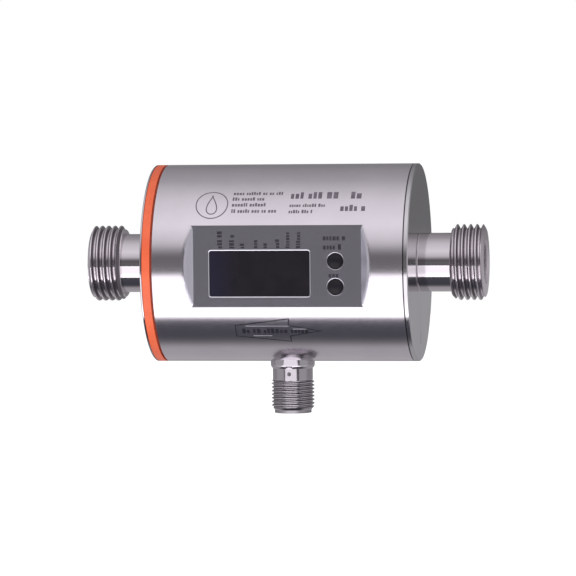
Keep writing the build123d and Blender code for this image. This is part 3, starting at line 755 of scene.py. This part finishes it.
def greenBoard():
    look = boardLook
    material, tree, shader, position = newMaterial("greenBoard")
    tracks = useGroup(tree, boardTracks, position, {"Tracks per mm": look["tracks"]})
    grain = useGroup(tree, fineGrain, position, {"Grains per mm": look["grains"]})
    colour = cloudedColour(tree, position, look, "deep", "pale")
    colour = mixColour(tree, tracks["Mask"], colour, rgb(*look["track"]))
    rough = remap(tree, grain["Mask"], 0.0, 1.0, *look["roughness"])
    setSurface(tree, shader, colour, rough, tracks["Mask"], look["depth"])
    return material


def dressPieces():
    materials = {slot: moulded(slot, look) for slot, look in innerLooks.items()}
    materials["orange_ring"] = moulded("orange_ring", ringLook)
    materials["key_rubber"] = moulded("key_rubber", keyLook)
    materials["dark_glass"] = lensGlass()
    materials["stainless"] = steel("discSteel", discLook)
    materials["turned_steel"] = steel("smallSteel", smallSteelLook)
    for slot, look in innerMetals.items():
        materials[slot] = steel(slot, look)
    materials["copper"] = enamelledCopper()
    materials["circuit_board"] = greenBoard()
    slots = {part["node"]: part["material_slot"] for part in frame["record"]["subparts"]}
    dressed = {node: materials[slot] for node, slot in slots.items()}
    dressed["housing_shell"] = housingSteel()
    for node, material in dressed.items():
        piece = frame["nodes"][node]
        piece.data.materials.clear()
        piece.data.materials.append(material)


# Pieces modelled here

sharpAngle = 25


def finishPiece(name, bm, material, replaced=None):
    bmesh.ops.recalc_face_normals(bm, faces=bm.faces)
    for face in bm.faces:
        face.smooth = True
    for edge in bm.edges:
        edge.smooth = edge.calc_face_angle(0.0) < math.radians(sharpAngle)
    mesh = bpy.data.meshes.new(name)
    bm.to_mesh(mesh)
    bm.free()
    mesh.materials.append(material)
    piece = bpy.data.objects.new(name, mesh)
    bpy.context.scene.collection.objects.link(piece)
    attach(piece, "meter")
    if replaced:
        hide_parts(replaced)


# Threads: a helical ridge, cut off square and run out into the bevels at both ends

pipeThread = {
    "pitch": 1.814,
    "crest": 10.4775,
    "rounding": 0.249,
    "flank": 27.5,
    # place of one crest, and where the ridge is cut off
    "crestAt": 47.2,
    "start": 45.9,
    "end": pipeEnd,
    # largest radius at each end and how fast it opens out from there,
    # then the smallest radius at the start and how fast it falls
    "startLimit": (9.2775, 1.0),
    "endLimit": (9.28, 1.75),
    "startFloor": (0.0, 0.0),
    "steps": 128,
}
plugThread = {
    "pitch": 1.0,
    "crest": 5.95,
    "rounding": 0.03,
    # flats left on the crest and in the root
    "lands": (0.10, 0.20),
    "flank": 30.0,
    "crestAt": 33.07,
    "start": 32.4,
    "end": plugEnd - 0.85,
    "startLimit": (5.55, 1.0),
    "endLimit": (5.1, 0.9),
    "startFloor": (5.55, 0.5),
    "steps": 96,
}
# Turned outlines as places along the axis and radii, round from the thread's end to its start
pipeFitting = {
    "thread": pipeThread,
    "outline": [
        (pipeEnd, 9.0), (pipeEnd, 6.0), (pipeEnd - 0.5, 5.5), (31.5, 5.5), (31.5, 8.05), (26.0, 8.05),
        (26.0, 10.15), (33.75, 10.15), (33.75, 8.1), (36.77, 8.1), (36.77, 8.34), (36.83, 8.2),
        (37.0, 8.1), (45.9, 8.1), (45.9, 9.0),
    ],
}
plugShell = {
    "thread": plugThread,
    "outline": [
        (plugEnd - 0.85, 5.1), (plugEnd, 5.1), (plugEnd, 4.35), (25.0, 4.35), (25.0, 5.05), (24.0, 5.05),
        (24.0, 6.1), (28.2, 6.1), (28.503, 6.063), (28.789, 5.953), (29.039, 5.778), (29.24, 5.55),
        (32.4, 5.55),
    ],
}
punch = {
    "height": -30.65,
    "turn": 2.0,
    # how far the ball's centre stands off the neck, and the ball's radius
    "standOff": 0.34,
    "ball": 0.64,
    # half the width of the patch that is cut finely, and the cuts on each side of its middle
    "patch": 0.62,
    "cuts": 7,
    # how near the ball's centre a face is cut and a corner is moved
    "facesWithin": 2.2,
    "cornersWithin": 2.0,
}


def ridgeOutline(thread):
    # One pitch from a crest to the next, as places along the axis and radii
    pitch, rounding, crest = thread["pitch"], thread["rounding"], thread["crest"]
    flank = math.radians(thread["flank"])
    turn = math.pi / 2 - flank
    crestLand, rootLand = thread.get("lands", (0.0, 0.0))
    straight = (pitch / 2 - (crestLand + rootLand) / 2 - 2 * rounding * math.cos(flank)) / math.tan(flank)
    root = crest - straight - 2 * rounding * (1 - math.sin(flank))

    def rounded(place, level, upward, land):
        corner = []
        for step in range(-3, 4):
            t = turn * step / 3
            sides = (-1, 1) if step == 0 and land else (math.copysign(1, step),)
            for side in sides:
                along = place + side * land / 2 + rounding * math.sin(t)
                corner.append((along, level + upward * rounding * (math.cos(t) - 1)))
        return corner

    def between(a, b):
        return [tuple(p + (q - p) * share for p, q in zip(a, b)) for share in (1 / 3, 2 / 3)]

    top = rounded(0, crest, 1, crestLand)
    foot = rounded(pitch / 2, root, -1, rootLand)
    nextTop = (pitch + top[0][0], top[0][1])
    return top + between(top[-1], foot[0]) + foot + between(foot[-1], nextTop)


def chain(bm, points):
    verts = [bm.verts.new((x * mm, 0, radius * mm)) for x, radius in points]
    edges = [bm.edges.new(pair) for pair in zip(verts, verts[1:])]
    return verts + edges


def cutPlane(bm, geometry, place, normal, tolerance=1e-7, clearOuter=False):
    bmesh.ops.bisect_plane(
        bm, geom=geometry, dist=tolerance, plane_co=place, plane_no=normal, clear_outer=clearOuter
    )


def threadBand(bm, thread):
    # One round of the whole ridge, longer than it is needed at both ends, then cut and held to its limits
    pitch, start, end, steps = thread["pitch"], thread["start"], thread["end"], thread["steps"]
    outline = ridgeOutline(thread)
    turns = math.ceil((end - start) / pitch) + 4
    first = thread["crestAt"] - 3 * pitch
    ridge = chain(bm, [(first + turn * pitch + x, radius) for turn in range(turns) for x, radius in outline])
    lead = (pitch * mm / steps, 0, 0)
    bmesh.ops.spin(bm, geom=ridge, cent=(0, 0, 0), axis=(1, 0, 0), dvec=lead, angle=2 * math.pi, steps=steps)
    bmesh.ops.remove_doubles(bm, verts=bm.verts, dist=0.004 * mm)
    for place, direction in ((start, -1), (end, 1)):
        everything = bm.verts[:] + bm.edges[:] + bm.faces[:]
        cutPlane(bm, everything, (place * mm, 0, 0), (direction, 0, 0), clearOuter=True)
    startRadius, startSlope = thread["startLimit"]
    endRadius, endSlope = thread["endLimit"]
    floor, fall = thread["startFloor"]
    for vert in bm.verts:
        x = vert.co.x / mm
        limit = min(startRadius + startSlope * abs(x - start), endRadius + endSlope * abs(x - end))
        radius = math.hypot(vert.co.y, vert.co.z) / mm
        share = max(min(radius, limit), floor - fall * (x - start)) / radius
        vert.co.y *= share
        vert.co.z *= share


def threadedPiece(look):
    # Built along +X: the thread, and the rest turned and joined to its two end circles
    bm = bmesh.new()
    thread = look["thread"]
    threadBand(bm, thread)
    bandEnds = [edge for edge in bm.edges if edge.is_boundary]
    core = chain(bm, look["outline"])
    around = {"cent": (0, 0, 0), "axis": (1, 0, 0), "angle": 2 * math.pi, "steps": thread["steps"]}
    bmesh.ops.spin(bm, geom=core, **around, use_merge=True)
    coreEnds = [edge for edge in bm.edges if edge.is_boundary and edge not in bandEnds]
    for place in (thread["end"], thread["start"]):
        loops = [
            edge for edge in bandEnds + coreEnds
            if edge.is_valid and abs(edge.verts[0].co.x - place * mm) < 0.01 * mm
        ]
        bmesh.ops.bridge_loops(bm, edges=loops)
    return bm


def pipeFittings(material):
    ends = (("outletThread", "outlet_fitting", 0), ("inletThread", "inlet_fitting", 180))
    for name, replaced, degrees in ends:
        bm = threadedPiece(pipeFitting)
        turn = Matrix.Rotation(math.radians(degrees), 3, "Z")
        bmesh.ops.rotate(bm, cent=(0, 0, 0), matrix=turn, verts=bm.verts)
        finishPiece(name, bm, material, replaced=replaced)


def plugShellPiece(material):
    bm = threadedPiece(plugShell)
    down = Matrix.Rotation(math.pi / 2, 3, "Y")
    bmesh.ops.rotate(bm, cent=(0, 0, 0), matrix=down, verts=bm.verts)
    bmesh.ops.translate(bm, vec=(plugPlace * mm, 0, 0), verts=bm.verts)
    punchMark(bm)
    finishPiece("plugThread", bm, material, replaced="connector_shell")


def punchMark(bm):
    # Press a round dimple into the neck: a fine patch of the surface is cut in and pushed back by a ball
    turn = math.radians(punch["turn"])
    neck = plugShell["outline"][-1][1]
    axis = Vector((plugPlace * mm, 0, 0))
    up = Vector((0, 0, 1))
    out = Vector((-math.sin(turn), -math.cos(turn), 0))
    centre = axis + up * punch["height"] * mm + out * (neck + punch["standOff"]) * mm

    def onPatch(face):
        near = (face.calc_center_median() - centre).length < punch["facesWithin"] * mm
        return near and abs(face.normal.dot(out)) > 0.5 and abs(face.normal.z) < 0.1

    for step in range(-punch["cuts"], punch["cuts"] + 1):
        offset = punch["patch"] * mm * step / punch["cuts"]
        for direction in (up.cross(out), up):
            cut = set()
            for face in filter(onPatch, bm.faces):
                cut.update([face, *face.edges, *face.verts])
            cutPlane(bm, list(cut), centre + direction * offset, direction)
    for vert in bm.verts:
        spoke = (vert.co - axis).xy
        if (vert.co - centre).length > punch["cornersWithin"] * mm or spoke.length < (neck - 0.1) * mm:
            continue
        vert.co.xy = axis.xy + spoke.normalized() * neck * mm
        away = vert.co - centre
        if away.length < punch["ball"] * mm:
            vert.co = centre + away.normalized() * punch["ball"] * mm


# Print: rows of small plain blocks in place of words, a drop in a ring, and the flow arrow, with painted
# highlights beside the arrow's lines

prints = {
    "inkAndGlint": {"roughness": (0.4, 0.55), "grains": 8.0, "patch": 2.0, "depth": 0.001, "sheen": 0.2},
    # how far the print stands out of the surface and reaches into it
    "lift": 0.010,
    "sink": 0.03,
    # the flat's distance from the pipe's axis, and the largest step round the body
    "flat": 24.92,
    "bendStep": 0.6,
    # fewest and most letters in a word
    "letters": (2, 6),
    # as shares of a row's height: widths and heights of the letters, gaps, and the room a word needs to begin
    "letterWidths": (0.34, 0.58),
    "letterHeights": (0.75, 0.75, 1.0),
    "letterGap": 0.17,
    "wordGap": 0.4,
    "leastRoom": 0.3,
    # rows on the round body: left, right, middle height above the axis line round the body, letter height
    "bodyRows": [
        (-11.9, 2.2, 21.9, 1.15), (-12.0, -2.9, 19.9, 1.15), (-12.0, -1.9, 17.9, 1.15),
        (-12.0, 0.7, 15.85, 1.15), (4.0, 17.8, 21.1, 2.4), (20.5, 25.1, 21.1, 2.5),
        (3.9, 14.1, 17.6, 1.05), (3.8, 10.4, 15.6, 1.05), (17.9, 24.8, 16.7, 2.0),
    ],
    # rows on the flat beside the keys: left, right, height, letter height
    "keyRows": [(13.4, 20.4, 7.7, 1.45), (13.4, 19.0, 5.2, 1.45), (14.9, 18.4, -2.45, 1.35)],
    # columns above the window: place along X, foot, head, letter height
    "unitColumns": [
        (-14.97, 4.9, 9.7, 1.35), (-11.64, 4.9, 8.8, 1.35), (-8.81, 4.9, 6.9, 1.2), (-5.15, 4.9, 7.6, 1.2),
        (-2.56, 4.9, 6.8, 1.2), (0.87, 4.9, 7.8, 1.2), (3.67, 4.9, 9.4, 1.2), (6.66, 4.9, 9.4, 1.2),
    ],
    "dropAt": (-17.55, 18.0),
    "dropSize": (2.232, 3.24),
    "ringSize": (4.5, 4.55),
    "stroke": 0.3,
    # pale and deep colours
    "bodyInk": ((0.17, 0.145, 0.17), (0.12, 0.10, 0.125)),
    "flatInk": ((0.040, 0.036, 0.048), (0.026, 0.023, 0.032)),
}
flowArrow = {
    "middle": -19.35,
    "shaftStart": -11.55,
    "headStart": 3.6,
    "tip": 12.5,
    "shaftHalf": 2.1,
    "headHalf": 4.41,
    "stroke": 0.3,
    "row": (-9.6, 8.6, 1.7),
    # painted highlights beside the cut lines: left, right, height, thickness
    "glints": [(-8.5, 3.3, 1.68, 0.16), (-6.8, -1.6, -1.95, 0.14), (4.4, 8.2, 0.62, 0.14)],
    "arrowInk": ((0.022, 0.019, 0.027), (0.012, 0.011, 0.015)),
    "paintedGlint": ((0.46, 0.44, 0.48), (0.38, 0.36, 0.40)),
}


def inkAndGlint(name, colours):
    pale, deep = colours
    return moulded(name, prints["inkAndGlint"] | {"pale": pale, "deep": deep})


# A thin block of ink, or of painted highlight for the arrow's glints
def inkAndGlintBlock(bm, left, right, low, high):
    thick = prints["lift"] + prints["sink"]
    place = Matrix.Translation(((left + right) / 2, (low + high) / 2, (prints["lift"] - prints["sink"]) / 2))
    size = Matrix.Diagonal((right - left, high - low, thick, 1))
    bmesh.ops.create_cube(bm, size=1, matrix=place @ size)


def inkRow(bm, draw, left, right, middle, height, upright=False):
    # Words of a few letters, each letter a plain block with its own width
    x = left
    foot = middle - height / 2
    while x < right - prints["leastRoom"] * height:
        for letter in range(draw.randint(*prints["letters"])):
            width = height * draw.uniform(*prints["letterWidths"])
            if x + width > right:
                break
            tall = height * draw.choice(prints["letterHeights"])
            if upright:
                inkAndGlintBlock(bm, foot + (height - tall), middle + height / 2, x, x + width)
            else:
                inkAndGlintBlock(bm, x, x + width, foot, foot + tall)
            x += width + prints["letterGap"] * height
        x += prints["wordGap"] * height


def inkOutline(bm, points, stroke):
    # A closed line of even width along the points
    corners = [bm.verts.new((x, y, -prints["sink"])) for x, y in points]
    face = bmesh.ops.contextual_create(bm, geom=corners)["faces"][0]
    face.normal_update()
    if face.normal.z < 0:
        face.normal_flip()
    inset = bmesh.ops.inset_region(
        bm, faces=[face], thickness=stroke, use_boundary=True, use_even_offset=True
    )
    bmesh.ops.delete(bm, geom=[face], context="FACES_ONLY")
    raised = bmesh.ops.extrude_face_region(bm, geom=inset["faces"], use_keep_orig=True)["geom"]
    verts = [item for item in raised if isinstance(item, bmesh.types.BMVert)]
    bmesh.ops.translate(bm, vec=(0, 0, prints["lift"] + prints["sink"]), verts=verts)


def wrapPrint(bm, radius=None):
    # Lay the drawing on the round body, or stand it on the flat
    if radius:
        heights = [vert.co.y for vert in bm.verts]
        count = math.ceil((max(heights) - min(heights)) / prints["bendStep"])
        for step in range(1, count):
            level = min(heights) + step * prints["bendStep"]
            cutPlane(bm, bm.verts[:] + bm.edges[:] + bm.faces[:], (0, level, 0), (0, 1, 0), tolerance=1e-6)
    for vert in bm.verts:
        x, along, rise = vert.co
        if radius:
            angle = along / radius
            vert.co = (x, -(radius + rise) * math.cos(angle), (radius + rise) * math.sin(angle))
        else:
            vert.co = (x, -(prints["flat"] + rise), along)
        vert.co *= mm


def bodyPrint(draw):
    bm = bmesh.new()
    for left, right, middle, height in prints["bodyRows"]:
        inkRow(bm, draw, left, right, middle, height)
    x, y = prints["dropAt"]
    turns = [2 * math.pi * step / 64 for step in range(64)]
    wide, high = prints["ringSize"]
    inkOutline(bm, [(x + wide * math.cos(t), y + high * math.sin(t)) for t in turns], prints["stroke"])
    wide, high = prints["dropSize"]
    drop = [(x + wide * math.sin(t) * math.sin(t / 2) ** 1.5, y + high * math.cos(t)) for t in turns[1:]]
    inkOutline(bm, drop, prints["stroke"])
    wrapPrint(bm, bodyRadius)
    finishPiece("bodyPrint", bm, inkAndGlint("bodyInk", prints["bodyInk"]))


def flatPrint(draw):
    bm = bmesh.new()
    for left, right, middle, height in prints["keyRows"]:
        inkRow(bm, draw, left, right, middle, height)
    for place, foot, head, height in prints["unitColumns"]:
        inkRow(bm, draw, foot, head, place, height, upright=True)
    wrapPrint(bm)
    finishPiece("flatPrint", bm, inkAndGlint("flatInk", prints["flatInk"]))


def arrowPrint(draw):
    look = flowArrow
    middle, half, head = look["middle"], look["shaftHalf"], look["headHalf"]
    start, neck, tip = look["shaftStart"], look["headStart"], look["tip"]
    lower = [(start, -half), (neck, -half), (neck, -head)]
    upper = [(x, -y) for x, y in reversed(lower)]
    bm = bmesh.new()
    inkOutline(bm, [(x, middle + y) for x, y in lower + [(tip, 0)] + upper], look["stroke"])
    left, right, height = look["row"]
    inkRow(bm, draw, left, right, middle, height)
    wrapPrint(bm, bodyRadius)
    finishPiece("flowArrow", bm, inkAndGlint("arrowInk", look["arrowInk"]))
    # pale strips beside the arrow's lines: painted highlight
    bm = bmesh.new()
    for left, right, rise, thick in look["glints"]:
        inkAndGlintBlock(bm, left, right, middle + rise, middle + rise + thick)
    wrapPrint(bm, bodyRadius)
    finishPiece("arrowPaintedGlints", bm, inkAndGlint("paintedGlint", look["paintedGlint"]))


setCamera()
buildWorld()
buildFloor()
buildCards()
addLamp()
print("camera and studio set")
dressPieces()
print("CAD pieces dressed")
pipeFittings(steel("fittingSteel", fittingLook))
plugShellPiece(steel("plugSteel", plugLook))
print("threads cut")
draw = random.Random(7)
bodyPrint(draw)
flatPrint(draw)
arrowPrint(draw)
print("marks printed")
